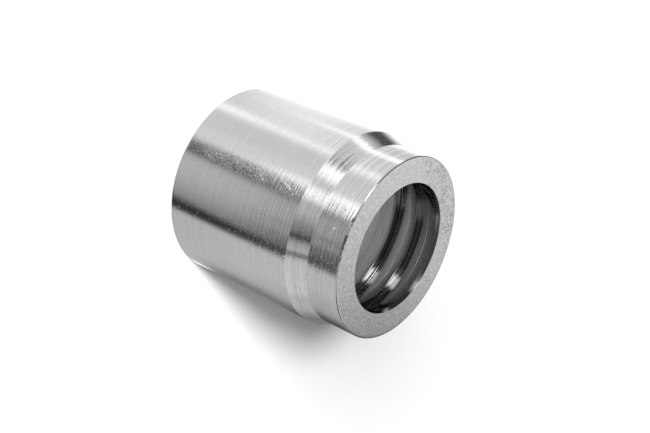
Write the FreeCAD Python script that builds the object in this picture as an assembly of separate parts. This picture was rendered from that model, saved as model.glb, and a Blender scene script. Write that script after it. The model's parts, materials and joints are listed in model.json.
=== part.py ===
import FreeCAD, Part
import math
import os
from collections import namedtuple

# Crimp hose ferrule for a 3/4 inch hydraulic hose: one steel sleeve, turned on its own axis.
# The hose enters the wide end and the hose insert locks behind the inward collar at the neck end.
# The axis is Z. The wide hose end stands on z = 0 and the neck end is up. All sizes are in mm.

# Body, sized from the hose that it slides over
hose_outside_diameter = 27.7
hose_clearance = 0.3            # radial
body_wall = 3.85                # from the hose bore to the outside of the body
overall_length = 38.0
hose_end_chamfer = 0.3          # outer edge of the hose end, 45 degrees

# Entry for the hose
lead_in_length = 1.2            # along the axis
lead_in_rise = 0.6              # radial

# Reduced neck around the collar
neck_drop = 1.3                 # radial step from the body down to the neck
neck_length = 6.4               # straight part, from the collar face
neck_taper_length = 3.7         # cone between the neck and the body
shoulder_round = 0.4            # convex, where the body turns into the cone
neck_root_round = 0.4           # concave, where the cone meets the neck
neck_rim_chamfer = 0.4          # outer edge of the collar face, 45 degrees

# Inward collar that the insert locks behind
collar_height = 2.5             # radial, inward from the hose bore
collar_width = 2.35             # along the axis, from the collar face
mouth_chamfer_length = 0.7      # along the axis
mouth_chamfer_rise = 0.3        # radial

# Relief groove behind the collar
lock_groove_depth = 2.35        # radial, outward from the collar bore
lock_groove_width = 3.3

# Gripping rib behind the relief groove
rib_height = 1.4                # radial, inward from the floor of the relief groove
rib_width = 1.35

# Grip groove behind the rib, where the crushed hose cover flows in
grip_groove_depth = 1.75        # radial, outward from the hose bore
grip_groove_width = 4.5         # from the back edge of the rib to the end of the hose bore
grip_flank_angle = 60.0         # of the rib's back flank, in degrees from the axis

# Edges inside
groove_root_round = 0.4         # at the floor of the grip groove
edge_break = 0.15               # 45 degree flat on each inner crest

# Radii from the axis
hose_bore_radius = hose_outside_diameter / 2 + hose_clearance
body_radius = hose_bore_radius + body_wall
neck_radius = body_radius - neck_drop
collar_radius = hose_bore_radius - collar_height
lock_groove_radius = collar_radius + lock_groove_depth
rib_radius = lock_groove_radius - rib_height
grip_groove_radius = hose_bore_radius + grip_groove_depth

# Heights above the hose end
collar_back = overall_length - collar_width
rib_front = collar_back - lock_groove_width
rib_back = rib_front - rib_width
hose_bore_end = rib_back - grip_groove_width
neck_start = overall_length - neck_length
shoulder = neck_start - neck_taper_length
grip_flank_run = (grip_groove_radius - rib_radius) / math.tan(math.radians(grip_flank_angle))

# One corner of the turned section: its distance from the axis and its height,
# with the radius that rounds it or the length that a flat takes off each of its sides
Corner = namedtuple("Corner", "radius height round chamfer", defaults=(0, 0))


def outside_corners():
    """Corners of the outside, from the hose end up to the collar face."""
    return [
        Corner(body_radius, 0, chamfer=hose_end_chamfer),
        Corner(body_radius, shoulder, round=shoulder_round),
        Corner(neck_radius, neck_start, round=neck_root_round),
        Corner(neck_radius, overall_length, chamfer=neck_rim_chamfer),
    ]


def collar_corners():
    """Corners of the chamfered mouth, the collar bore and the relief groove, going down."""
    return [
        Corner(collar_radius + mouth_chamfer_rise, overall_length),
        Corner(collar_radius, overall_length - mouth_chamfer_length),
        Corner(collar_radius, collar_back, chamfer=edge_break),
        Corner(lock_groove_radius, collar_back),
        Corner(lock_groove_radius, rib_front),
    ]


def grip_corners():
    """Corners of the rib and the grip groove, going down."""
    return [
        Corner(rib_radius, rib_front, chamfer=edge_break),
        Corner(rib_radius, rib_back, chamfer=edge_break),
        Corner(grip_groove_radius, rib_back - grip_flank_run, round=groove_root_round),
        Corner(grip_groove_radius, hose_bore_end, round=groove_root_round),
    ]


def hose_bore_corners():
    """Corners of the plain hose bore and its lead-in, down to the hose end."""
    return [
        Corner(hose_bore_radius, hose_bore_end, chamfer=edge_break),
        Corner(hose_bore_radius, lead_in_length),
        Corner(hose_bore_radius + lead_in_rise, 0),
    ]


def point(corner):
    """Place of a corner in the XZ plane."""
    return FreeCAD.Vector(corner.radius, 0, corner.height)


def finished(before, corner, after):
    """Where the outline leaves one side of a corner and joins the next, and the edge between them."""
    tip = point(corner)
    back = (point(before) - tip).normalize()
    forward = (point(after) - tip).normalize()
    if corner.round > 0:
        half_angle = back.getAngle(forward) / 2
        setback = corner.round / math.tan(half_angle)
        start, end = tip + back * setback, tip + forward * setback
        deepest = corner.round / math.sin(half_angle) - corner.round
        middle = tip + (back + forward).normalize() * deepest
        return start, end, [Part.Arc(start, middle, end).toShape()]
    if corner.chamfer > 0:
        start, end = tip + back * corner.chamfer, tip + forward * corner.chamfer
        return start, end, [Part.LineSegment(start, end).toShape()]
    return tip, tip, []


def section(corners):
    """Closed flat section through all corners, each rounded, chamfered or left sharp."""
    count = len(corners)
    finishes = [finished(corners[i - 1], corners[i], corners[(i + 1) % count]) for i in range(count)]
    edges = []
    for i, (start, end, corner_edges) in enumerate(finishes):
        next_start = finishes[(i + 1) % count][0]
        edges += corner_edges
        edges.append(Part.LineSegment(end, next_start).toShape())
    return Part.Face(Part.Wire(edges))


def ferrule():
    """The whole ferrule as one solid, turned once round the axis."""
    corners = outside_corners() + collar_corners() + grip_corners() + hose_bore_corners()
    return section(corners).revolve(FreeCAD.Vector(0, 0, 0), FreeCAD.Vector(0, 0, 1), 360)


os.makedirs("parts", exist_ok=True)
ferrule().exportStep("parts/ferrule.step")
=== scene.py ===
"""Visual model of a crimp hose ferrule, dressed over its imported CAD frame.

The ferrule is one steel sleeve, turned from bar. The hose enters its wide end, which stands
on the floor at z = 0, and an inward collar at the reduced neck locks behind the hose insert.
The script turns the sleeve's section again, finely enough for the picture, gives each turned
surface its own finish, and sets up the studio and the camera. Sizes are in millimetres, and
MM takes them to Blender's metres.
"""

import json
import logging
import math
from dataclasses import dataclass
from enum import Enum
from typing import Any

import bpy
from mathutils import Matrix, Vector


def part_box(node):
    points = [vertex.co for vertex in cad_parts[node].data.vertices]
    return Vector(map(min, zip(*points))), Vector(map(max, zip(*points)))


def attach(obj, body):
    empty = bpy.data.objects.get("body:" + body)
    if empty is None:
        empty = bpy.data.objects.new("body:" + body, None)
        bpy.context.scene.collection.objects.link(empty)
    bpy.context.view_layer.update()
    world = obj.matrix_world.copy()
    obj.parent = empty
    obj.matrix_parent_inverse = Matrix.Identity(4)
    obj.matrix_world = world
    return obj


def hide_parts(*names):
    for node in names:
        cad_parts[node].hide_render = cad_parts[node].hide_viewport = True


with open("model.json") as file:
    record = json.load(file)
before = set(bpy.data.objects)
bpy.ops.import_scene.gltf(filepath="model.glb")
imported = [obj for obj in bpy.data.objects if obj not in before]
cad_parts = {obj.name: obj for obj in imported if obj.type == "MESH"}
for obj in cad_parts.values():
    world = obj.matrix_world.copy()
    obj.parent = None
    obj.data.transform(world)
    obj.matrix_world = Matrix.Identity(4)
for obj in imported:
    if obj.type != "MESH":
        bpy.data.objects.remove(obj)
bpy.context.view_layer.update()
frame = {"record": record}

log = logging.getLogger("ferrule")

MM = 0.001
NODE_GAP = 180                  # how far apart a tree's nodes lie in the editor, in its own units
WHITE = "#FFFFFF"
HALF_TURN = 180.0               # degrees


def linear(hex_colour: str) -> tuple[float, float, float, float]:
    """Turns an sRGB hex colour into linear light.

    Args:
        hex_colour: The colour as six hex digits after a "#".

    Returns:
        Red, green, blue and an alpha of 1.
    """
    channels = [int(hex_colour[i:i + 2], 16) / 255 for i in (1, 3, 5)]
    # The sRGB curve has a straight foot and a power law above it
    red, green, blue = (c / 12.92 if c <= 0.04045 else ((c + 0.055) / 1.055) ** 2.4 for c in channels)
    return red, green, blue, 1.0


def add_node(
    tree: bpy.types.NodeTree,
    kind: str,
    inputs: dict[int | str, Any] | None = None,
    **settings: Any,
) -> bpy.types.Node:
    """Adds a node to a tree, with its settings, values and links.

    Args:
        tree: The tree that gets the node.
        kind: The node's Blender type.
        inputs: What goes into each input, by its name or number: a value, a socket to link,
            or a node, whose first output is linked.
        **settings: Properties of the node itself.

    Returns:
        The new node.
    """
    node = tree.nodes.new(kind)
    node.location = (NODE_GAP * (len(tree.nodes) - 1), 0)
    for name, value in settings.items():
        setattr(node, name, value)
    for key, value in (inputs or {}).items():
        if isinstance(value, bpy.types.Node):
            value = value.outputs[0]
        if isinstance(value, bpy.types.NodeSocket):
            tree.links.new(value, node.inputs[key])
        else:
            node.inputs[key].default_value = value
    return node


def mount_size(record: dict[str, Any], mount: str, size: str) -> float:
    """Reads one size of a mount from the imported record.

    Args:
        record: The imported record.
        mount: Name of the mount.
        size: Key of the size.

    Returns:
        The size in millimetres.
    """
    return next(m["dims"][size] for m in record["mounts"] if m["name"] == mount)


BODY_RADIUS = mount_size(frame["record"], "crimp_land", "r_mm")
NECK_DROP = 1.3                 # radial step from the body down to the neck
NECK_RADIUS = BODY_RADIUS - NECK_DROP

# The finishes' noise patterns, whose values lie between 0 and 1 and mostly near a half
NOISE_MIDDLE = 0.5
GRAIN_LAYERS = 3.0              # how many layers of finer grain lie in the grain
GRAIN_SPAN = (0.35, 0.65)       # values that give the darkest and the brightest grain
RING_LAYERS = 2.0
RING_LAYER_SHARE = 0.6          # strength of each finer layer, as a share of the one before
RING_SPAN = (0.3, 0.7)          # values that give the darkest and the brightest ring
NICK_LAYERS = 1.0
NICK_EDGE = 0.05                # rise in the noise from the edge of a nick to its floor
VEIN_LAYERS = 1.0
VEIN_WARP = 1.2                 # how far the veins are bent out of shape
VEIN_HALF_WIDTH = 0.07          # how far from the middle the noise is at the edge of a vein
SPECK_LAYERS = 2.0
SPECK_SPAN = (0.42, 0.58)       # noise at the edge and in the middle of a speck

SCUFF_SPAN = (1.1, 0.6)         # where a scuff ends and where it is full, in its own half sizes
ACROSS_RINGS = 0.25             # turns the shader's grain by a quarter of a full turn


class Cut(Enum):
    """How a surface of the ferrule was cut."""

    TURNED = "turned"
    FACED = "faced"
    BORED = "bored"


@dataclass(frozen=True)
class RingMarks:
    """One family of rings that a lathe tool leaves round the axis.

    A lathe leaves a ring about every 0.1 mm. A pixel of the picture shows about 0.18 mm, so the
    finest rings are drawn three times as coarse as that, or else they would not show.

    Attributes:
        pitch: Mean spacing of the rings.
        length: How far round a ring runs before it fades into its neighbours.
        depth: Height of the rings.
        stain_and_shade: How much darker a ring's grooves and brighter its crests get, partly stain and
            partly painted shade and highlight.
        start: Height on the ferrule where they begin, by default below its foot.
        full: Height where they reach their full depth.
    """

    pitch: float
    length: float
    depth: float
    stain_and_shade: float = 0.0
    start: float = -2.0
    full: float = -1.0


@dataclass(frozen=True)
class Dent:
    """One small pit or knock in the surface.

    Attributes:
        azimuth: Degrees round from -Y, towards +X.
        height: Height above the hose end.
        size: Its radius.
        depth: Its depth; a raised burr has a negative one.
        radius: Distance of the surface from the axis there.
    """

    azimuth: float
    height: float
    size: float
    depth: float
    radius: float = BODY_RADIUS

    def place(self) -> Vector:
        """Place of its middle, in Blender's metres."""
        turn = math.radians(self.azimuth)
        return Vector((self.radius * math.sin(turn), -self.radius * math.cos(turn), self.height)) * MM


@dataclass(frozen=True)
class Scuff:
    """A patch that was rubbed against something, with dark specks in it: dirt on the body, painted shade on
    the neck's rim.

    Attributes:
        azimuth: Middle of the patch, in degrees round from -Y, towards +X.
        height: Height of its middle.
        half_width: Half of its width round the surface.
        half_height: Half of its length along the axis.
        speck_size: Size of the specks.
        depth: Height of the specks.
        stain_and_shade: How dark the specks are, as dirt on the body and as painted shade on the neck's
            rim.
        radius: Distance of the surface from the axis there.
    """

    azimuth: float
    height: float
    half_width: float
    half_height: float
    speck_size: float
    depth: float
    stain_and_shade: float
    radius: float = BODY_RADIUS


@dataclass(frozen=True)
class SteelFinish:
    """Bright free-cutting steel as a lathe tool leaves it, with its rings round the axis.

    The rings spread every highlight across them, and leave it sharp round the axis. The ring
    pattern is drawn on the height plus the radius, so it follows cylinders, cones and faces alike.

    Attributes:
        name: Name of the material.
        colour: Colour of the metal where it is clean.
        roughness: Roughness of the metal.
        anisotropy: How much further a highlight spreads across the rings than along them.
        rings: The families of rings.
        grain_size: Size of the mottled grain of the surface.
        grain_depth: Height of the grain.
        grain_stain: How much darker or brighter the grain gets.
        vein_size: Size of the faint dark veins, or 0 for none.
        vein_stain: How much darker the veins are.
        vein_azimuth: Side of the ferrule that has them, in degrees round from -Y, towards +X.
        vein_start: How far out to that side they begin.
        vein_full: How far out they reach their full strength.
        nick_size: Size of the small handling nicks.
        nick_depth: Depth of the nicks.
        nick_level: Noise above which a nick shows; a higher one leaves fewer.
        dents: Single pits and knocks.
        scuffs: Rubbed patches.
    """

    name: str
    colour: str = "#D2D2D1"     # bare steel in daylight, with hardly any tint
    roughness: float = 0.2
    anisotropy: float = 0.6
    rings: tuple[RingMarks, ...] = ()
    grain_size: float = 0.5
    grain_depth: float = 0.0
    grain_stain: float = 0.02
    vein_size: float = 0.0
    vein_stain: float = 0.0
    vein_azimuth: float = 235.0
    vein_start: float = 8.0
    vein_full: float = 12.0
    nick_size: float = 0.4
    nick_depth: float = 0.02
    nick_level: float = 0.7
    dents: tuple[Dent, ...] = ()
    scuffs: tuple[Scuff, ...] = ()

    def material(self) -> bpy.types.Material:
        """Builds the material.

        Returns:
            A metal with its rings, grain, nicks and dents in its bump and its stains in its colour.
        """
        material = bpy.data.materials.new(self.name)
        material.use_nodes = True
        tree = material.node_tree
        tree.nodes.clear()
        where = add_node(tree, "ShaderNodeTexCoord").outputs["Object"]
        x, y, z = add_node(tree, "ShaderNodeSeparateXYZ", {0: where}).outputs
        flat = add_node(tree, "ShaderNodeCombineXYZ", {0: x, 1: y})
        radius = add_node(tree, "ShaderNodeVectorMath", {0: flat}, operation="LENGTH").outputs["Value"]
        run = add_node(tree, "ShaderNodeMath", {0: z, 1: radius}, operation="ADD")
        unrolled = add_node(tree, "ShaderNodeCombineXYZ", {0: x, 1: y, 2: run})
        height: Any = 0.0
        shade: Any = 1.0
        for marks in self.rings:
            height, shade = self.add_rings(tree, unrolled, z, marks, height, shade)
        height, shade = self.add_grain(tree, where, height, shade)
        if self.vein_size:
            shade = self.add_veins(tree, where, shade)
        height = self.add_nicks(tree, where, height)
        for dent in self.dents:
            height = self.add_dent(tree, where, dent, height)
        for scuff in self.scuffs:
            height, shade = self.add_scuff(tree, where, scuff, height, shade)
        bump = add_node(tree, "ShaderNodeBump", {"Strength": 1.0, "Distance": MM, "Height": height})
        clean = linear(self.colour)[:3]
        colour = add_node(tree, "ShaderNodeVectorMath", {0: clean, 1: shade}, operation="MULTIPLY")
        round_axis = add_node(
            tree, "ShaderNodeVectorMath", {0: (0, 0, 1), 1: flat}, operation="CROSS_PRODUCT"
        )
        tangent = add_node(tree, "ShaderNodeVectorMath", {0: round_axis}, operation="NORMALIZE")
        shader = add_node(
            tree,
            "ShaderNodeBsdfPrincipled",
            {
                "Base Color": colour,
                "Metallic": 1.0,
                "Roughness": self.roughness,
                "Anisotropic": self.anisotropy,
                "Anisotropic Rotation": ACROSS_RINGS,
                "Tangent": tangent,
                "Normal": bump,
            },
        )
        add_node(tree, "ShaderNodeOutputMaterial", {"Surface": shader})
        return material

    def stain_and_shade_by(
        self, tree: bpy.types.NodeTree, what: Any, span: tuple[float, float], stain_and_shade: Any, shade: Any
    ) -> bpy.types.Node:
        """Darkens and brightens the metal by a pattern.

        Args:
            tree: The material's tree.
            what: The pattern.
            span: Its values that give the darkest and the brightest metal.
            stain_and_shade: How much darker or brighter the metal gets; in the rings this is partly painted
                shade and highlight.
            shade: Shade of the metal so far.

        Returns:
            The node that gives the new shade.
        """
        darkest, brightest = span
        wave = add_node(
            tree,
            "ShaderNodeMapRange",
            {"Value": what, "From Min": darkest, "From Max": brightest, "To Min": -1.0, "To Max": 1.0},
        )
        change = add_node(
            tree, "ShaderNodeMath", {0: wave, 1: stain_and_shade, 2: 1.0}, operation="MULTIPLY_ADD"
        )
        return add_node(tree, "ShaderNodeMath", {0: shade, 1: change}, operation="MULTIPLY")

    def add_rings(
        self,
        tree: bpy.types.NodeTree,
        unrolled: bpy.types.Node,
        z: bpy.types.NodeSocket,
        marks: RingMarks,
        height: Any,
        shade: Any,
    ) -> tuple[bpy.types.Node, bpy.types.Node]:
        """Adds one family of rings to the height and the shade of the surface.

        Args:
            tree: The material's tree.
            unrolled: Place on the piece, with the height plus the radius as its Z.
            z: Height on the piece.
            marks: The rings.
            height: Height of the surface so far, in millimetres.
            shade: Shade of the metal so far.

        Returns:
            The nodes that give the new height and the new shade.
        """
        around, across = 1 / (marks.length * MM), 1 / (marks.pitch * MM)
        stretched = add_node(
            tree, "ShaderNodeVectorMath", {0: unrolled, 1: (around, around, across)}, operation="MULTIPLY"
        )
        rings = add_node(
            tree,
            "ShaderNodeTexNoise",
            {"Vector": stretched, "Scale": 1.0, "Detail": RING_LAYERS, "Roughness": RING_LAYER_SHARE},
        )
        there = add_node(
            tree,
            "ShaderNodeMapRange",
            {"Value": z, "From Min": marks.start * MM, "From Max": marks.full * MM},
            interpolation_type="SMOOTHSTEP",
        )
        depth = add_node(tree, "ShaderNodeMath", {0: there, 1: marks.depth}, operation="MULTIPLY")
        # The pattern that raises a ring's crest also lightens it and darkens its groove: partly stain,
        # partly painted shade and highlight
        stain_and_shade = add_node(tree, "ShaderNodeMath", {0: there, 1: marks.stain_and_shade}, operation="MULTIPLY")
        return (
            add_node(tree, "ShaderNodeMath", {0: rings, 1: depth, 2: height}, operation="MULTIPLY_ADD"),
            self.stain_and_shade_by(tree, rings, RING_SPAN, stain_and_shade, shade),
        )

    def add_grain(
        self, tree: bpy.types.NodeTree, where: bpy.types.NodeSocket, height: Any, shade: Any
    ) -> tuple[bpy.types.Node, bpy.types.Node]:
        """Adds the mottled grain to the height and the shade of the surface.

        Args:
            tree: The material's tree.
            where: Place on the piece.
            height: Height of the surface so far, in millimetres.
            shade: Shade of the metal so far.

        Returns:
            The nodes that give the new height and the new shade.
        """
        grain = add_node(
            tree,
            "ShaderNodeTexNoise",
            {"Vector": where, "Scale": 1 / (self.grain_size * MM), "Detail": GRAIN_LAYERS},
        )
        return (
            add_node(
                tree, "ShaderNodeMath", {0: grain, 1: self.grain_depth, 2: height}, operation="MULTIPLY_ADD"
            ),
            self.stain_and_shade_by(tree, grain, GRAIN_SPAN, self.grain_stain, shade),
        )

    def add_veins(
        self, tree: bpy.types.NodeTree, where: bpy.types.NodeSocket, shade: Any
    ) -> bpy.types.Node:
        """Adds faint dark veins, which run where two blotches of the surface meet.

        Args:
            tree: The material's tree.
            where: Place on the piece.
            shade: Shade of the metal so far.

        Returns:
            The node that gives the new shade.
        """
        blotches = add_node(
            tree,
            "ShaderNodeTexNoise",
            {
                "Vector": where,
                "Scale": 1 / (self.vein_size * MM),
                "Detail": VEIN_LAYERS,
                "Distortion": VEIN_WARP,
            },
        )
        off = add_node(tree, "ShaderNodeMath", {0: blotches, 1: NOISE_MIDDLE}, operation="SUBTRACT")
        away = add_node(tree, "ShaderNodeMath", {0: off}, operation="ABSOLUTE")
        vein = add_node(
            tree,
            "ShaderNodeMapRange",
            {"Value": away, "From Min": VEIN_HALF_WIDTH, "From Max": 0.0},
            interpolation_type="SMOOTHSTEP",
        )
        turn = math.radians(self.vein_azimuth)
        side = add_node(
            tree,
            "ShaderNodeVectorMath",
            {0: where, 1: (math.sin(turn), -math.cos(turn), 0.0)},
            operation="DOT_PRODUCT",
        ).outputs["Value"]
        patch = add_node(
            tree,
            "ShaderNodeMapRange",
            {"Value": side, "From Min": self.vein_start * MM, "From Max": self.vein_full * MM},
            interpolation_type="SMOOTHSTEP",
        )
        cover = add_node(tree, "ShaderNodeMath", {0: vein, 1: patch}, operation="MULTIPLY")
        keep = add_node(
            tree, "ShaderNodeMath", {0: cover, 1: -self.vein_stain, 2: 1.0}, operation="MULTIPLY_ADD"
        )
        return add_node(tree, "ShaderNodeMath", {0: shade, 1: keep}, operation="MULTIPLY")

    def add_nicks(
        self, tree: bpy.types.NodeTree, where: bpy.types.NodeSocket, height: Any
    ) -> bpy.types.Node:
        """Sinks the small handling nicks into the surface.

        Args:
            tree: The material's tree.
            where: Place on the piece.
            height: Height of the surface so far, in millimetres.

        Returns:
            The node that gives the new height.
        """
        noise = add_node(
            tree,
            "ShaderNodeTexNoise",
            {"Vector": where, "Scale": 1 / (self.nick_size * MM), "Detail": NICK_LAYERS},
        )
        nicks = add_node(
            tree,
            "ShaderNodeMapRange",
            {"Value": noise, "From Min": self.nick_level, "From Max": self.nick_level + NICK_EDGE},
            interpolation_type="SMOOTHSTEP",
        )
        return add_node(
            tree, "ShaderNodeMath", {0: nicks, 1: -self.nick_depth, 2: height}, operation="MULTIPLY_ADD"
        )

    def add_dent(
        self, tree: bpy.types.NodeTree, where: bpy.types.NodeSocket, dent: Dent, height: Any
    ) -> bpy.types.Node:
        """Sinks one round dent into the surface, or raises a burr.

        Args:
            tree: The material's tree.
            where: Place on the piece.
            dent: The dent.
            height: Height of the surface so far, in millimetres.

        Returns:
            The node that gives the new height.
        """
        away = add_node(
            tree, "ShaderNodeVectorMath", {0: where, 1: dent.place()}, operation="DISTANCE"
        ).outputs["Value"]
        bowl = add_node(
            tree,
            "ShaderNodeMapRange",
            {"Value": away, "From Min": dent.size * MM, "From Max": 0.0},
            interpolation_type="SMOOTHSTEP",
        )
        return add_node(
            tree, "ShaderNodeMath", {0: bowl, 1: -dent.depth, 2: height}, operation="MULTIPLY_ADD"
        )

    def add_scuff(
        self,
        tree: bpy.types.NodeTree,
        where: bpy.types.NodeSocket,
        scuff: Scuff,
        height: Any,
        shade: Any,
    ) -> tuple[bpy.types.Node, bpy.types.Node]:
        """Adds one rubbed patch to the height and the shade of the surface.

        Args:
            tree: The material's tree.
            where: Place on the piece.
            scuff: The patch.
            height: Height of the surface so far, in millimetres.
            shade: Shade of the metal so far.

        Returns:
            The nodes that give the new height and the new shade.
        """
        turned = add_node(
            tree,
            "ShaderNodeVectorRotate",
            {"Vector": where, "Angle": -math.radians(scuff.azimuth)},
            rotation_type="Z_AXIS",
        )
        middle = (0.0, -scuff.radius * MM, scuff.height * MM)
        off = add_node(tree, "ShaderNodeVectorMath", {0: turned, 1: middle}, operation="SUBTRACT")
        # The patch reaches so far inwards that only its width and its length bound it
        reach_in = 2 * scuff.radius
        sides = tuple(1 / (reach * MM) for reach in (scuff.half_width, reach_in, scuff.half_height))
        scaled = add_node(tree, "ShaderNodeVectorMath", {0: off, 1: sides}, operation="MULTIPLY")
        away = add_node(tree, "ShaderNodeVectorMath", {0: scaled}, operation="LENGTH").outputs["Value"]
        patch = add_node(
            tree,
            "ShaderNodeMapRange",
            {"Value": away, "From Min": SCUFF_SPAN[0], "From Max": SCUFF_SPAN[1]},
            interpolation_type="SMOOTHSTEP",
        )
        noise = add_node(
            tree,
            "ShaderNodeTexNoise",
            {"Vector": where, "Scale": 1 / (scuff.speck_size * MM), "Detail": SPECK_LAYERS},
        )
        specks = add_node(
            tree,
            "ShaderNodeMapRange",
            {"Value": noise, "From Min": SPECK_SPAN[0], "From Max": SPECK_SPAN[1]},
            interpolation_type="SMOOTHSTEP",
        )
        depth = add_node(tree, "ShaderNodeMath", {0: patch, 1: scuff.depth}, operation="MULTIPLY")
        # The dark specks: dirt on the body, and painted shade where the patch lies on the neck's rim
        dirt_and_shade = add_node(tree, "ShaderNodeMath", {0: patch, 1: specks}, operation="MULTIPLY")
        keep = add_node(
            tree, "ShaderNodeMath", {0: dirt_and_shade, 1: -scuff.stain_and_shade, 2: 1.0}, operation="MULTIPLY_ADD"
        )
        return (
            add_node(tree, "ShaderNodeMath", {0: specks, 1: depth, 2: height}, operation="MULTIPLY_ADD"),
            add_node(tree, "ShaderNodeMath", {0: shade, 1: keep}, operation="MULTIPLY"),
        )


FINISHES = {
    # Free-cutting steel, fine turned: bright, with bands of light and dark along the axis that the
    # rings comb at their edges, dull dirty specks where it was rubbed, and painted shade on the neck's rim.
    Cut.TURNED: SteelFinish(
        "fine_turned_steel",
        roughness=0.125,
        anisotropy=0.5,
        rings=(
            # Fine rings all over
            RingMarks(0.30, 40.0, 0.003, 0.03),
            # Deeper ones, which grow from the middle of the body towards the shoulder
            RingMarks(0.45, 18.0, 0.023, 0.00, 12.0, 23.0),
            # Ones on the cone and the neck, darker in their grooves and lighter on their crests: partly
            # stain, partly painted shade and highlight
            RingMarks(0.38, 24.0, 0.017, 0.09, 26.0, 30.0),
            # A slow wave, where the tool chattered
            RingMarks(1.60, 30.0, 0.005),
        ),
        grain_size=0.2,
        grain_depth=0.008,
        grain_stain=0.05,
        nick_level=0.69,
        dents=(
            # A raised burr that climbs towards the shoulder
            Dent(-8.8, 22.1, 0.40, -0.05),
            Dent(-7.6, 22.9, 0.50, -0.06),
            Dent(-6.4, 23.7, 0.55, -0.06),
            Dent(-5.6, 24.5, 0.40, -0.05),
            # Pits low on the body
            Dent(-15.1, 8.4, 0.22, 0.03),
            Dent(-8.1, 7.2, 0.22, 0.04),
            Dent(-5.3, 5.9, 0.22, 0.04),
            Dent(-8.2, 12.4, 0.28, 0.04),
            Dent(-22.8, 11.1, 0.25, 0.04),
            # Two raised spots below the burr
            Dent(-6.2, 18.0, 0.30, -0.05),
            Dent(-4.6, 18.7, 0.28, -0.05),
            # Pits near the shoulder
            Dent(-4.2, 25.7, 0.25, 0.05),
            Dent(29.5, 27.6, 0.28, 0.08),
            Dent(37.1, 24.1, 0.20, 0.05),
            # Pits on the neck
            Dent(36.9, 31.7, 0.20, 0.05, NECK_RADIUS),
            Dent(48.1, 33.6, 0.16, 0.05, NECK_RADIUS),
            Dent(37.1, 35.2, 0.20, 0.05, NECK_RADIUS),
            Dent(48.6, 35.1, 0.16, 0.05, NECK_RADIUS),
            Dent(-18.1, 35.4, 0.35, 0.06, NECK_RADIUS),
            Dent(-7.7, 35.5, 0.25, 0.06, NECK_RADIUS),
            Dent(3.6, 35.2, 0.35, 0.06, NECK_RADIUS),
            Dent(-40.5, 35.3, 0.30, 0.05, NECK_RADIUS),
        ),
        scuffs=(
            # A long streak up the body, a short one at the burr, and the knocked rim of the neck
            Scuff(-6.5, 12.0, 1.7, 10.5, 0.22, 0.0055, 0.42),
            Scuff(-5.0, 24.5, 1.7, 3.8, 0.18, 0.003, 0.45),
            # On the neck's rim the dark specks are painted shade, standing in for the rim's dark
            # reflection; the knock is in the bump
            Scuff(7.0, 37.9, 5.5, 0.45, 1.10, 0.020, 0.65, NECK_RADIUS),
        ),
    ),
    # The same steel, faced across: paler and matt, with a mottled grain and faint curled veins.
    Cut.FACED: SteelFinish(
        "faced_steel",
        colour="#D6D6D5",       # a little paler than the outside
        roughness=0.24,
        anisotropy=0.2,
        rings=(RingMarks(0.3, 30.0, 0.001, 0.01),),
        grain_size=0.42,
        grain_depth=0.016,
        grain_stain=0.12,
        vein_size=1.1,
        vein_stain=0.42,
        nick_level=0.72,
    ),
    # The same steel, bored: dull and dark, with coarse rings that cut its highlights into stripes.
    Cut.BORED: SteelFinish(
        "bored_steel",
        colour="#A4A4A3",       # darker than the outside
        roughness=0.15,
        anisotropy=0.7,
        # Their grooves are darkened and their crests lightened, partly as stain and partly as painted shade
        # and highlight
        rings=(RingMarks(0.35, 30.0, 0.011, 0.18), RingMarks(1.0, 30.0, 0.008, 0.08)),
    ),
}


@dataclass(frozen=True)
class Corner:
    """One corner of the turned section.

    Attributes:
        name: Name of the corner, which its inputs on the modifier start with.
        radius: Distance from the axis.
        height: Height above the hose end.
        round: Radius of the arc that rounds it.
    """

    name: str
    radius: float
    height: float
    round: float = 0.0


@dataclass(frozen=True)
class Surface:
    """A stretch of the section that one tool cut, with one finish.

    Attributes:
        name: Name of the surface.
        corners: Its corners, in the order in which the section is drawn.
        cut: How it was cut, which gives its finish.
        row_spacing: Greatest distance between two rows of the mesh.
    """

    name: str
    corners: tuple[Corner, ...]
    cut: Cut
    row_spacing: float


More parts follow.
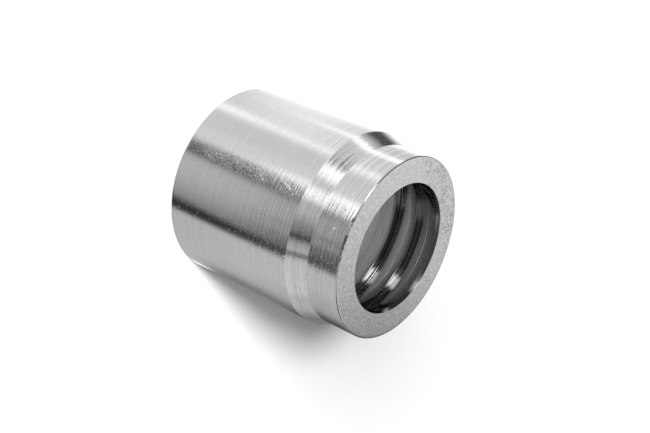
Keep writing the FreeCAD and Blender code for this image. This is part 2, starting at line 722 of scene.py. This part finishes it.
@dataclass
class TurnedSleeve:
    """The ferrule's sleeve: its section, the tree that turns it and its finishes.

    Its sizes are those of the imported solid, but its edges are rounded where the solid has small
    flats or none, and it has fine rows of faces for the picture.

    Attributes:
        body_radius: Radius of the straight body.
        hose_bore_radius: Radius of the bore that the hose slides into.
        collar_radius: Radius of the hole in the collar.
        overall_length: From the hose end to the collar face.
        neck_drop: Radial step from the body down to the neck.
        neck_length: Length of the straight neck.
        neck_taper_length: Length of the cone between the neck and the body.
        shoulder_round: Round where the body turns into the cone.
        neck_root_round: Round where the cone meets the neck.
        rim_round: Round of the neck's outer edge.
        hose_end_round: Round of the hose end's outer edge.
        foot_width: How far in over the hose end the finish of the outside reaches.
        lead_in_length: Length of the flare at the mouth of the hose bore.
        lead_in_rise: Radial rise of that flare.
        collar_width: Width of the collar along the axis.
        mouth_chamfer_length: Length of the chamfer at the mouth of the collar.
        mouth_chamfer_rise: Radial rise of that chamfer.
        lock_groove_depth: Depth of the relief groove behind the collar, from the collar's bore.
        lock_groove_width: Width of that groove.
        rib_height: Height of the gripping rib over the floor of the relief groove.
        rib_width: Width of the rib.
        grip_groove_depth: Depth of the groove behind the rib, from the hose bore.
        grip_groove_width: Width of that groove, from the rib's back edge to the hose bore.
        grip_flank_angle: Slope of the rib's back flank, in degrees from the axis.
        groove_root_round: Round at the floor of the groove behind the rib.
        crest_round: Round of the inward crests.
        edge_round: Round of all other edges inside.
        segments_around: How many faces go round the sleeve.
        points_per_round: How many points each round has.
        row_spacing_outside: Greatest distance between two rows of faces outside.
        row_spacing_face: The same on the collar face.
        row_spacing_bore: The same in the bore.
        row_spacing_hose_end: The same on the hose end.
        path_radius: Radius of the circle that the section is carried round. Any size will do.
        weld_distance: How near two points are when they are made one.
    """

    body_radius: float
    hose_bore_radius: float
    collar_radius: float
    overall_length: float
    neck_drop: float = NECK_DROP
    neck_length: float = 6.4
    neck_taper_length: float = 3.7
    shoulder_round: float = 0.3
    neck_root_round: float = 0.3
    rim_round: float = 0.28
    hose_end_round: float = 0.35
    foot_width: float = 1.0
    lead_in_length: float = 1.2
    lead_in_rise: float = 0.6
    collar_width: float = 2.35
    mouth_chamfer_length: float = 0.7
    mouth_chamfer_rise: float = 0.3
    lock_groove_depth: float = 2.35
    lock_groove_width: float = 3.3
    rib_height: float = 1.4
    rib_width: float = 1.35
    grip_groove_depth: float = 1.75
    grip_groove_width: float = 4.5
    grip_flank_angle: float = 60.0
    groove_root_round: float = 0.4
    crest_round: float = 0.15
    edge_round: float = 0.08
    segments_around: int = 256
    points_per_round: int = 8
    row_spacing_outside: float = 0.3
    row_spacing_face: float = 0.4
    row_spacing_bore: float = 0.7
    row_spacing_hose_end: float = 1.0
    path_radius: float = 1.0
    weld_distance: float = 0.002

    def foot(self) -> Corner:
        """Where the finish of the outside meets that of the hose end."""
        return Corner("Foot", self.body_radius - self.foot_width, 0.0)

    def rim_inside(self) -> Corner:
        """Where the neck's rounded rim meets the collar face."""
        return Corner("Rim Inside", self.body_radius - self.neck_drop - self.rim_round, self.overall_length)

    def mouth(self) -> Corner:
        """Where the collar face meets the rounded edge of the mouth."""
        radius = self.collar_radius + self.mouth_chamfer_rise + self.edge_round
        return Corner("Mouth", radius, self.overall_length)

    def hose_end_inside(self) -> Corner:
        """Where the rounded edge of the lead-in meets the hose end."""
        return Corner("Hose End Inside", self.hose_bore_radius + self.lead_in_rise + self.edge_round, 0.0)

    def outside(self) -> tuple[Corner, ...]:
        """Corners of the outside, from the foot up the body, the cone and the neck to the rim."""
        neck_radius = self.body_radius - self.neck_drop
        neck_start = self.overall_length - self.neck_length
        return (
            self.foot(),
            Corner("Hose End Edge", self.body_radius, 0.0, self.hose_end_round),
            Corner("Shoulder", self.body_radius, neck_start - self.neck_taper_length, self.shoulder_round),
            Corner("Neck Start", neck_radius, neck_start, self.neck_root_round),
            Corner("Rim", neck_radius, self.overall_length, self.rim_round),
            self.rim_inside(),
        )

    def collar_face(self) -> tuple[Corner, ...]:
        """Corners of the flat face at the neck's end."""
        return self.rim_inside(), self.mouth()

    def bore(self) -> tuple[Corner, ...]:
        """Corners of the collar bore, its grooves, the rib and the hose bore, going down."""
        top = self.overall_length
        lock_radius = self.collar_radius + self.lock_groove_depth
        rib_radius = lock_radius - self.rib_height
        grip_radius = self.hose_bore_radius + self.grip_groove_depth
        collar_back = top - self.collar_width
        rib_front = collar_back - self.lock_groove_width
        rib_back = rib_front - self.rib_width
        bore_end = rib_back - self.grip_groove_width
        flank_run = (grip_radius - rib_radius) / math.tan(math.radians(self.grip_flank_angle))
        return (
            self.mouth(),
            Corner("Mouth Edge", self.collar_radius + self.mouth_chamfer_rise, top, self.edge_round),
            Corner("Collar Front", self.collar_radius, top - self.mouth_chamfer_length, self.crest_round),
            Corner("Collar Back", self.collar_radius, collar_back, self.crest_round),
            Corner("Lock Groove Front", lock_radius, collar_back, self.edge_round),
            Corner("Lock Groove Back", lock_radius, rib_front, self.edge_round),
            Corner("Rib Front", rib_radius, rib_front, self.crest_round),
            Corner("Rib Back", rib_radius, rib_back, self.crest_round),
            Corner("Grip Groove Front", grip_radius, rib_back - flank_run, self.groove_root_round),
            Corner("Grip Groove Back", grip_radius, bore_end, self.groove_root_round),
            Corner("Hose Bore Front", self.hose_bore_radius, bore_end, self.crest_round),
            Corner("Lead In", self.hose_bore_radius, self.lead_in_length, self.edge_round),
            Corner("Lead In Edge", self.hose_bore_radius + self.lead_in_rise, 0.0, self.edge_round),
            self.hose_end_inside(),
        )

    def hose_end(self) -> tuple[Corner, ...]:
        """Corners of the flat ring that the ferrule stands on."""
        return self.hose_end_inside(), self.foot()

    def surfaces(self) -> tuple[Surface, ...]:
        """All surfaces, which close the section when they are drawn one after another."""
        return (
            Surface("Outside", self.outside(), Cut.TURNED, self.row_spacing_outside),
            Surface("Collar Face", self.collar_face(), Cut.FACED, self.row_spacing_face),
            Surface("Bore", self.bore(), Cut.BORED, self.row_spacing_bore),
            Surface("Hose End", self.hose_end(), Cut.FACED, self.row_spacing_hose_end),
        )

    def add_input(self, tree: bpy.types.NodeTree, name: str, kind: str, value: Any) -> None:
        """Adds a named input to the turning tree, unless it is there already.

        Args:
            tree: The turning tree.
            name: Name of the input.
            kind: Its socket type.
            value: Its default value.
        """
        if name in {item.name for item in tree.interface.items_tree}:
            return
        item = tree.interface.new_socket(name, in_out="INPUT", socket_type=kind)
        item.default_value = value

    def turning_tree(self, materials: dict[Cut, bpy.types.Material]) -> bpy.types.NodeTree:
        """Builds the tree that turns the section once round the axis.

        Args:
            materials: The material of each kind of cut.

        Returns:
            The tree, with an input for the place and round of every corner.
        """
        tree = bpy.data.node_groups.new("turn_the_section", "GeometryNodeTree")
        tree.interface.new_socket("Geometry", in_out="INPUT", socket_type="NodeSocketGeometry")
        tree.interface.new_socket("Geometry", in_out="OUTPUT", socket_type="NodeSocketGeometry")
        self.add_input(tree, "Segments Around", "NodeSocketInt", self.segments_around)
        self.add_input(tree, "Points per Round", "NodeSocketInt", self.points_per_round)
        sizes = {"Path Radius": self.path_radius, "Weld Distance": self.weld_distance}
        for surface in self.surfaces():
            sizes[f"{surface.name} Row Spacing"] = surface.row_spacing
            for corner in surface.corners:
                sizes[f"{corner.name} Radius"] = corner.radius
                sizes[f"{corner.name} Height"] = corner.height
                sizes[f"{corner.name} Round"] = corner.round
        for name, size in sizes.items():
            self.add_input(tree, name, "NodeSocketFloat", size * MM)
        given = add_node(tree, "NodeGroupInput").outputs
        path = add_node(
            tree,
            "GeometryNodeCurvePrimitiveCircle",
            {"Resolution": given["Segments Around"], "Radius": given["Path Radius"]},
        )
        joined = add_node(tree, "GeometryNodeJoinGeometry")
        turned = [self.turned_surface(tree, given, path, surface, materials) for surface in self.surfaces()]
        for piece in reversed(turned):
            tree.links.new(piece.outputs[0], joined.inputs[0])
        closed = add_node(
            tree, "GeometryNodeMergeByDistance", {"Geometry": joined, "Distance": given["Weld Distance"]}
        )
        outward = add_node(tree, "GeometryNodeFlipFaces", {"Mesh": closed})
        smooth = add_node(
            tree, "GeometryNodeSetShadeSmooth", {"Geometry": outward, "Shade Smooth": True}
        )
        real = add_node(tree, "GeometryNodeRealizeInstances", {"Geometry": smooth})
        add_node(tree, "NodeGroupOutput", {0: real})
        return tree

    def turned_surface(
        self,
        tree: bpy.types.NodeTree,
        given: Any,
        path: bpy.types.Node,
        surface: Surface,
        materials: dict[Cut, bpy.types.Material],
    ) -> bpy.types.Node:
        """Adds the nodes that draw one stretch of the section and carry it round the axis.

        Args:
            tree: The turning tree.
            given: The tree's named inputs.
            path: The circle that the section is carried round.
            surface: The stretch of the section.
            materials: The material of each kind of cut.

        Returns:
            The node that gives the turned surface with its material.
        """
        count = len(surface.corners)
        index = add_node(tree, "GeometryNodeInputIndex")
        places = add_node(tree, "GeometryNodeIndexSwitch", {"Index": index}, data_type="VECTOR")
        rounds = add_node(tree, "GeometryNodeIndexSwitch", {"Index": index}, data_type="FLOAT")
        for switch in (places, rounds):
            while len(switch.index_switch_items) < count:
                switch.index_switch_items.new()
        for i, corner in enumerate(surface.corners):
            off_path = add_node(
                tree,
                "ShaderNodeMath",
                {0: given[f"{corner.name} Radius"], 1: given["Path Radius"]},
                operation="SUBTRACT",
            )
            down = add_node(
                tree,
                "ShaderNodeMath",
                {0: given[f"{corner.name} Height"], 1: -1.0},
                operation="MULTIPLY",
            )
            place = add_node(tree, "ShaderNodeCombineXYZ", {"X": off_path, "Y": down})
            tree.links.new(place.outputs[0], places.inputs[1 + i])
            tree.links.new(given[f"{corner.name} Round"], rounds.inputs[1 + i])
        points = add_node(tree, "GeometryNodePoints", {"Count": count, "Position": places.outputs[0]})
        line = add_node(tree, "GeometryNodePointsToCurves", {"Points": points})
        rounded = add_node(
            tree,
            "GeometryNodeFilletCurve",
            {
                "Curve": line,
                "Count": given["Points per Round"],
                "Radius": rounds.outputs[0],
                "Limit Radius": True,
            },
            mode="POLY",
        )
        here = add_node(tree, "GeometryNodeInputPosition")
        number = add_node(tree, "GeometryNodeInputIndex")
        next_number = add_node(tree, "ShaderNodeMath", {0: number, 1: 1.0}, operation="ADD")
        there = add_node(
            tree,
            "GeometryNodeFieldAtIndex",
            {"Index": next_number, "Value": here},
            data_type="FLOAT_VECTOR",
        )
        gap = add_node(tree, "ShaderNodeVectorMath", {0: here, 1: there}, operation="DISTANCE")
        rows = add_node(
            tree,
            "ShaderNodeMath",
            {0: gap.outputs["Value"], 1: given[f"{surface.name} Row Spacing"]},
            operation="DIVIDE",
        )
        ruled = add_node(tree, "GeometryNodeSubdivideCurve", {"Curve": rounded, "Cuts": rows})
        swept = add_node(
            tree, "GeometryNodeCurveToMesh", {"Curve": path, "Profile Curve": ruled, "Fill Caps": False}
        )
        return add_node(
            tree,
            "GeometryNodeSetMaterial",
            {"Geometry": swept, "Material": materials[surface.cut]},
        )

    def build(self) -> bpy.types.Object:
        """Turns the sleeve and gives it its finishes.

        Returns:
            The finished piece, as a plain mesh.
        """
        materials = {cut: finish.material() for cut, finish in FINISHES.items()}
        blank = bpy.data.meshes.new("ferrule_blank")
        piece = bpy.data.objects.new("turned_sleeve", blank)
        bpy.context.scene.collection.objects.link(piece)
        turning = piece.modifiers.new("turning", "NODES")
        turning.node_group = self.turning_tree(materials)
        evaluated = piece.evaluated_get(bpy.context.evaluated_depsgraph_get())
        mesh = bpy.data.meshes.new_from_object(evaluated)
        piece.modifiers.clear()
        piece.data = mesh
        mesh.name = "turned_sleeve"
        bpy.data.meshes.remove(blank)
        return piece


@dataclass(frozen=True)
class SoftPanel:
    """One panel, window or flag of the studio, as the metal sees it.

    Attributes:
        name: What it is.
        azimuth: Degrees round from the camera's side, towards +X.
        half_width: Half of its width, in degrees.
        edge: Softness of its upright edges, in degrees.
        elevation: Degrees above the horizon.
        half_height: Half of its height, in degrees.
        fade: Softness of its level edges, in degrees.
        level: Its brightness, where 1 is white.
        lean: How far its azimuth moves for each degree of elevation.
    """

    name: str
    azimuth: float
    half_width: float
    edge: float
    elevation: float
    half_height: float
    fade: float
    level: float
    lean: float = 0.0


@dataclass(frozen=True)
class FloorLamp:
    """A far lamp that draws the ferrule's shadow on the floor. The metal doesn't mirror it.

    Attributes:
        name: Name of the lamp.
        azimuth: Degrees round from the camera's side, towards +X.
        elevation: Degrees above the horizon.
        width: Its angular size, in degrees.
        energy: Its strength.
    """

    name: str
    azimuth: float
    elevation: float
    width: float
    energy: float

    def build(self) -> None:
        """Puts the lamp in the scene."""
        lamp = bpy.data.lights.new(self.name, "SUN")
        lamp.energy = self.energy
        lamp.angle = math.radians(self.width)
        stand = bpy.data.objects.new(self.name, lamp)
        stand.visible_glossy = False
        turn, rise = math.radians(self.azimuth), math.radians(self.elevation)
        level = math.cos(rise)
        toward = Vector((math.sin(turn) * level, -math.cos(turn) * level, math.sin(rise)))
        stand.rotation_mode = "QUATERNION"
        stand.rotation_quaternion = toward.to_track_quat("Z", "Y")
        bpy.context.scene.collection.objects.link(stand)


@dataclass
class Studio:
    """The pale room, its soft panels and dark flags, and its lamps.

    The steel mirrors the room, so its bands of light and dark are panels and flags, each placed
    where the metal looks. The floor sees only an even grey, so that no panel lights it.

    Attributes:
        room_level: Brightness of the room behind all panels, as the metal sees it.
        ambient_level: Brightness of the room as the floor sees it.
        panels: Panels and flags, of which each hangs in front of those before it.
        lamps: Lamps that draw the shadow.
    """

    room_level: float = 0.66
    ambient_level: float = 0.15
    panels: tuple[SoftPanel, ...] = (
        SoftPanel("left wall", -88, 64, 7, 0, 90, 5, 0.86),
        SoftPanel("left window", -108, 30, 12, -46, 17, 3, 0.87),
        SoftPanel("window sill", -112, 32, 6, -37, 2.6, 1.2, 1.2),
        SoftPanel("back left window", -164, 20, 12, -48, 24, 5, 1.45),
        SoftPanel("dim ceiling", 75, 105, 8, 50, 40, 2, 0.1),
        SoftPanel("dark shelf", 118, 38, 6, 5, 5, 1.5, 0.05),
        SoftPanel("dim left ceiling", -150, 38, 8, 45, 43.5, 1.5, 0.3),
        SoftPanel("left ceiling", -82, 30, 8, 45, 44.5, 1.5, 0.05),
        SoftPanel("front ceiling", -42, 14, 5, 47, 36, 2, 0.25),
        SoftPanel("high left wall", -86, 32, 8, 52, 14, 5, 0.65),
        SoftPanel("high right wall", 86, 34, 8, 54, 12, 6, 0.65),
        SoftPanel("right ceiling", 70, 14, 8, 34, 10, 5, 0.6),
        SoftPanel("skylight", 0, 200, 1, 90, 25, 10, 0.8),
        SoftPanel("key softbox", -49, 10, 3, 39, 16, 3, 6.0),
        SoftPanel("doorway", -126, 14, 9, -9.5, 18, 4, 0.1),
        SoftPanel("lintel", -117, 17, 4, -2, 6, 2, 0.03),
        SoftPanel("tall softbox", -102, 4.7, 3, -20, 15, 3, 1.7, 0.5),
        SoftPanel("front board", -36, 6, 8, -42, 10, 3, 0.96),
        SoftPanel("low softbox", -83.4, 4.5, 9, -47, 8, 1, 1.65, 0.9),
        SoftPanel("softbox skirt", -69, 4.5, 8, -31, 8, 1, 1.45, 0.9),
        SoftPanel("high softbox", -47.6, 7.4, 4, -5, 12, 3, 1.65, 0.6),
        SoftPanel("front softbox", -16.8, 7.3, 4, -14, 22, 2, 1.5),
        SoftPanel("softbox foot", -18.5, 9.9, 5, -31, 6.5, 1, 1.75),
        SoftPanel("dark card", -13.1, 5, 3, -40.5, 4.7, 0.6, 0.08, -1.38),
        SoftPanel("leaning dark card", -12.3, 5.2, 3, -40.5, 4.7, 0.6, 0.08, 2.4),
        SoftPanel("wide dark card", -9.7, 7.2, 3, -37.1, 2.2, 0.6, 0.02),
        SoftPanel("grey board", 26.5, 31, 5, -32, 4.4, 1.2, 0.44),
        SoftPanel("dark lath", 26, 31, 5, -31, 1.1, 0.6, 0.08),
        SoftPanel("pale shelf", 20, 30, 8, -24, 2.5, 1, 0.95),
        SoftPanel("grey drape", 58, 9, 38, -45, 30, 5, 0.05),
        SoftPanel("short flag", 45.5, 9.5, 1.5, -31, 4, 0.8, 0.08),
        SoftPanel("dark slat", 25.5, 2.2, 1.5, -31, 4, 0.8, 0.1),
        SoftPanel("dark stand", 25, 12, 11, -2, 12, 4, 0.27),
        SoftPanel("narrow flag", 30.5, 3, 2.5, 0, 12, 4, 0.05),
        SoftPanel("thin flag", 49.9, 2.1, 1.8, 0, 12, 4, 0.06),
        SoftPanel("black flag", 50.5, 5, 1.5, -50, 14.4, 0.7, 0.02, 0.74),
        SoftPanel("black flag edge", 68.9, 5, 1.3, -50, 14.4, 0.7, 0.02, -0.7),
        SoftPanel("right window", 95, 28, 2.5, -36, 30, 4, 0.65),
        SoftPanel("bench end", 66, 5, 2, -31, 3.2, 1, 0.68),
        SoftPanel("bench edge", 86, 20, 6, -35.5, 1.8, 1.2, 0.76),
        SoftPanel("grey slat", 112, 14, 12, -31.5, 2.2, 1.2, 0.52),
        SoftPanel("pale cupboard", 77, 22, 4, -10, 10, 2, 0.84),
        SoftPanel("far right flag", 152.5, 22.5, 17, -10, 28.6, 0.5, 0.24),
        SoftPanel("pale back floor", 167, 12, 4, -54, 15.4, 0.5, 1.4),
        SoftPanel("back slat", 165, 20, 12, -31.5, 2.2, 1.2, 0.08),
        SoftPanel("back wall", 180, 45, 8, 34, 14, 6, 0.91),
        SoftPanel("dark corner", 151, 26, 6, 22, 11, 4, 0.1),
        SoftPanel("small black flag", 169, 7, 3, 28, 3.5, 2.5, 0.0),
    )
    lamps: tuple[FloorLamp, ...] = (
        FloorLamp("high_lamp", -17, 40, 11, 3.5),
        FloorLamp("low_lamp", -16, 22, 26, 2.9),
    )

    def world(self) -> bpy.types.World:
        """Builds the world.

        Returns:
            A world that is white to the camera, an even grey to the floor, and a studio to the metal.
        """
        world = bpy.data.worlds.new("studio")
        world.use_nodes = True
        # The metal's own rays find the panels, so the world isn't sampled as a lamp
        world.cycles.sampling_method = "NONE"
        tree = world.node_tree
        tree.nodes.clear()
        looking = add_node(tree, "ShaderNodeTexCoord").outputs["Generated"]
        way = add_node(tree, "ShaderNodeSeparateXYZ", {0: looking})
        front = add_node(tree, "ShaderNodeMath", {0: way.outputs[1], 1: -1.0}, operation="MULTIPLY")
        bearing = add_node(
            tree, "ShaderNodeMath", {0: way.outputs[0], 1: front}, operation="ARCTAN2"
        )
        azimuth = add_node(tree, "ShaderNodeMath", {0: bearing}, operation="DEGREES")
        rise = add_node(tree, "ShaderNodeMath", {0: way.outputs[2]}, operation="ARCSINE")
        elevation = add_node(tree, "ShaderNodeMath", {0: rise}, operation="DEGREES")
        level: Any = self.room_level
        for panel in self.panels:
            level = self.hang(tree, panel, azimuth, elevation, level)
        ray = add_node(tree, "ShaderNodeLightPath").outputs
        for_metal = add_node(
            tree,
            "ShaderNodeMix",
            {"Factor": ray["Is Glossy Ray"], "A": self.ambient_level, "B": level},
            data_type="FLOAT",
        )
        for_all = add_node(
            tree,
            "ShaderNodeMix",
            {"Factor": ray["Is Camera Ray"], "A": for_metal, "B": 1.0},
            data_type="FLOAT",
        )
        lit = add_node(tree, "ShaderNodeBackground", {"Color": linear(WHITE), "Strength": for_all})
        add_node(tree, "ShaderNodeOutputWorld", {"Surface": lit})
        return world

    def hang(
        self,
        tree: bpy.types.NodeTree,
        panel: SoftPanel,
        azimuth: bpy.types.Node,
        elevation: bpy.types.Node,
        behind: Any,
    ) -> bpy.types.Node:
        """Hangs one panel in front of what is there.

        Args:
            tree: The world's tree.
            panel: The panel.
            azimuth: Node that gives the azimuth that a ray looks along.
            elevation: Node that gives its elevation.
            behind: Level of what the panel hangs in front of, as a number or a node.

        Returns:
            The node that gives the level with the panel in place.
        """
        over = add_node(
            tree, "ShaderNodeMath", {0: elevation, 1: panel.elevation}, operation="SUBTRACT"
        )
        leant = add_node(
            tree, "ShaderNodeMath", {0: over, 1: -panel.lean, 2: azimuth}, operation="MULTIPLY_ADD"
        )
        off = add_node(tree, "ShaderNodeMath", {0: leant, 1: panel.azimuth}, operation="SUBTRACT")
        turned = add_node(
            tree, "ShaderNodeMath", {0: off, 1: HALF_TURN, 2: -HALF_TURN}, operation="WRAP"
        )
        aside = add_node(tree, "ShaderNodeMath", {0: turned}, operation="ABSOLUTE")
        across = add_node(
            tree,
            "ShaderNodeMapRange",
            {
                "Value": aside,
                "From Min": panel.half_width + panel.edge,
                "From Max": panel.half_width - panel.edge,
            },
            interpolation_type="SMOOTHSTEP",
        )
        away = add_node(tree, "ShaderNodeMath", {0: over}, operation="ABSOLUTE")
        up = add_node(
            tree,
            "ShaderNodeMapRange",
            {
                "Value": away,
                "From Min": panel.half_height + panel.fade,
                "From Max": panel.half_height - panel.fade,
            },
            interpolation_type="SMOOTHSTEP",
        )
        cover = add_node(
            tree, "ShaderNodeMath", {0: across, 1: up}, operation="MULTIPLY", label=panel.name
        )
        return add_node(
            tree,
            "ShaderNodeMix",
            {"Factor": cover, "A": behind, "B": panel.level},
            data_type="FLOAT",
        )

    def build(self) -> None:
        """Puts the world and the lamps in the scene."""
        bpy.context.scene.world = self.world()
        for lamp in self.lamps:
            lamp.build()


@dataclass
class Floor:
    """The plain white floor, and the part of it inside the bore that the metal mirrors, which glows as
    painted light.

    Attributes:
        outer_radius: How far the floor reaches.
        hole_radius: Where the disc inside the bore ends, under the ferrule's wall, and the rest
            of the floor begins.
        segments: How many sides the disc has.
        colour: Colour of the board.
        white_point: How much brighter the camera sees it than it is lit, to a full white.
        bore_glow: How bright the bore's metal sees the disc, as the white room beyond a real
            ferrule's open end.
    """

    outer_radius: float = 3000.0
    hole_radius: float = 16.0
    segments: int = 96
    colour: str = "#E8E8E8"     # matt white board
    white_point: float = 0.08
    bore_glow: float = 1.25

    def material(self, name: str, glow_to_metal: float) -> bpy.types.Material:
        """Builds a matt white board, white to the camera where nothing shades it.

        Args:
            name: Name of the material.
            glow_to_metal: How bright the metal sees it, over the light that falls on it.

        Returns:
            The board, with the ferrule's shadow kept.
        """
        material = bpy.data.materials.new(name)
        material.use_nodes = True
        tree = material.node_tree
        tree.nodes.clear()
        board = add_node(tree, "ShaderNodeBsdfDiffuse", {"Color": linear(self.colour)})
        ray = add_node(tree, "ShaderNodeLightPath").outputs
        mirrored = add_node(
            tree, "ShaderNodeMath", {0: ray["Is Glossy Ray"], 1: glow_to_metal}, operation="MULTIPLY"
        )
        lift = add_node(
            tree,
            "ShaderNodeMath",
            {0: ray["Is Camera Ray"], 1: self.white_point, 2: mirrored},
            operation="MULTIPLY_ADD",
        )
        glow = add_node(tree, "ShaderNodeEmission", {"Color": linear(WHITE), "Strength": lift})
        both = add_node(tree, "ShaderNodeAddShader", {0: board, 1: glow})
        add_node(tree, "ShaderNodeOutputMaterial", {"Surface": both})
        return material

    def build(self) -> None:
        """Lays the floor round the ferrule and the disc inside it."""
        circle = [
            (self.hole_radius * MM * math.cos(a), self.hole_radius * MM * math.sin(a), 0.0)
            for a in (2 * math.pi * i / self.segments for i in range(self.segments))
        ]
        scale = self.outer_radius / self.hole_radius
        outer = [(x * scale, y * scale, z) for x, y, z in circle]
        n = self.segments
        ring = [(n + i, n + (i + 1) % n, (i + 1) % n, i) for i in range(n)]
        for name, points, faces, glow in (
            ("floor_round_ferrule", circle + outer, ring, 0.0),
            # Painted light: the disc in the bore glows to the metal, though it is no lamp, for the room
            # beyond a real ferrule's open end
            ("floor_in_bore", circle, [tuple(range(n))], self.bore_glow),
        ):
            mesh = bpy.data.meshes.new(name)
            mesh.from_pydata(points, [], faces)
            mesh.materials.append(self.material(f"white_board_{name}", glow))
            piece = bpy.data.objects.new(name, mesh)
            piece.visible_glossy = glow > 0
            bpy.context.scene.collection.objects.link(piece)


@dataclass
class PhotoCamera:
    """The camera, at the viewing angle of the photograph.

    Attributes:
        aim_height: Height on the ferrule's axis that the lens points at.
        distance: From there to the lens.
        elevation: Degrees above the horizon.
        roll: Degrees that the camera is turned about its own line of sight. The ferrule lies
            on its side in the photograph and stands here, so the camera is turned with it.
        focal_length: Focal length of the lens.
        sensor_width: Width of the sensor.
        nearest: Nearest distance that it sees, in metres.
        farthest: Farthest distance that it sees, in metres.
    """

    aim_height: float = 21.20
    distance: float = 201.0
    elevation: float = 34.23
    roll: float = 113.69
    focal_length: float = 61.79
    sensor_width: float = 36.0
    nearest: float = 0.01
    farthest: float = 20.0

    def build(self) -> None:
        """Sets the camera up and makes it the scene's own."""
        lens = bpy.data.cameras.new("photo_camera")
        lens.lens = self.focal_length
        lens.sensor_width = self.sensor_width
        lens.clip_start = self.nearest
        lens.clip_end = self.farthest
        camera = bpy.data.objects.new("photo_camera", lens)
        rise, roll = math.radians(self.elevation), math.radians(self.roll)
        back = Vector((0.0, -math.cos(rise), math.sin(rise)))
        level = Vector((1.0, 0.0, 0.0))
        upright = back.cross(level)
        right = math.cos(roll) * level + math.sin(roll) * upright
        up = back.cross(right)
        turn = Matrix((right, up, back)).transposed().to_4x4()
        place = Vector((0.0, 0.0, self.aim_height * MM)) + back * (self.distance * MM)
        camera.matrix_world = Matrix.Translation(place) @ turn
        bpy.context.scene.collection.objects.link(camera)
        bpy.context.scene.camera = camera


def main() -> None:
    """Builds the ferrule, the studio, the floor and the camera."""
    record = frame["record"]
    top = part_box("ferrule")[1].z
    sleeve = TurnedSleeve(
        body_radius=BODY_RADIUS,
        hose_bore_radius=mount_size(record, "hose_bore", "r_mm"),
        collar_radius=mount_size(record, "collar_bore", "r_mm"),
        overall_length=top / MM,
    )
    piece = sleeve.build()
    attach(piece, "root")
    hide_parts("ferrule")
    log.info("%s: %d faces", piece.name, len(piece.data.polygons))
    Studio().build()
    Floor().build()
    PhotoCamera().build()
    view = bpy.context.scene.view_settings
    view.view_transform = "Standard"


if __name__ == "__main__":
    logging.basicConfig(level=logging.INFO, format="%(name)s: %(message)s")
    main()
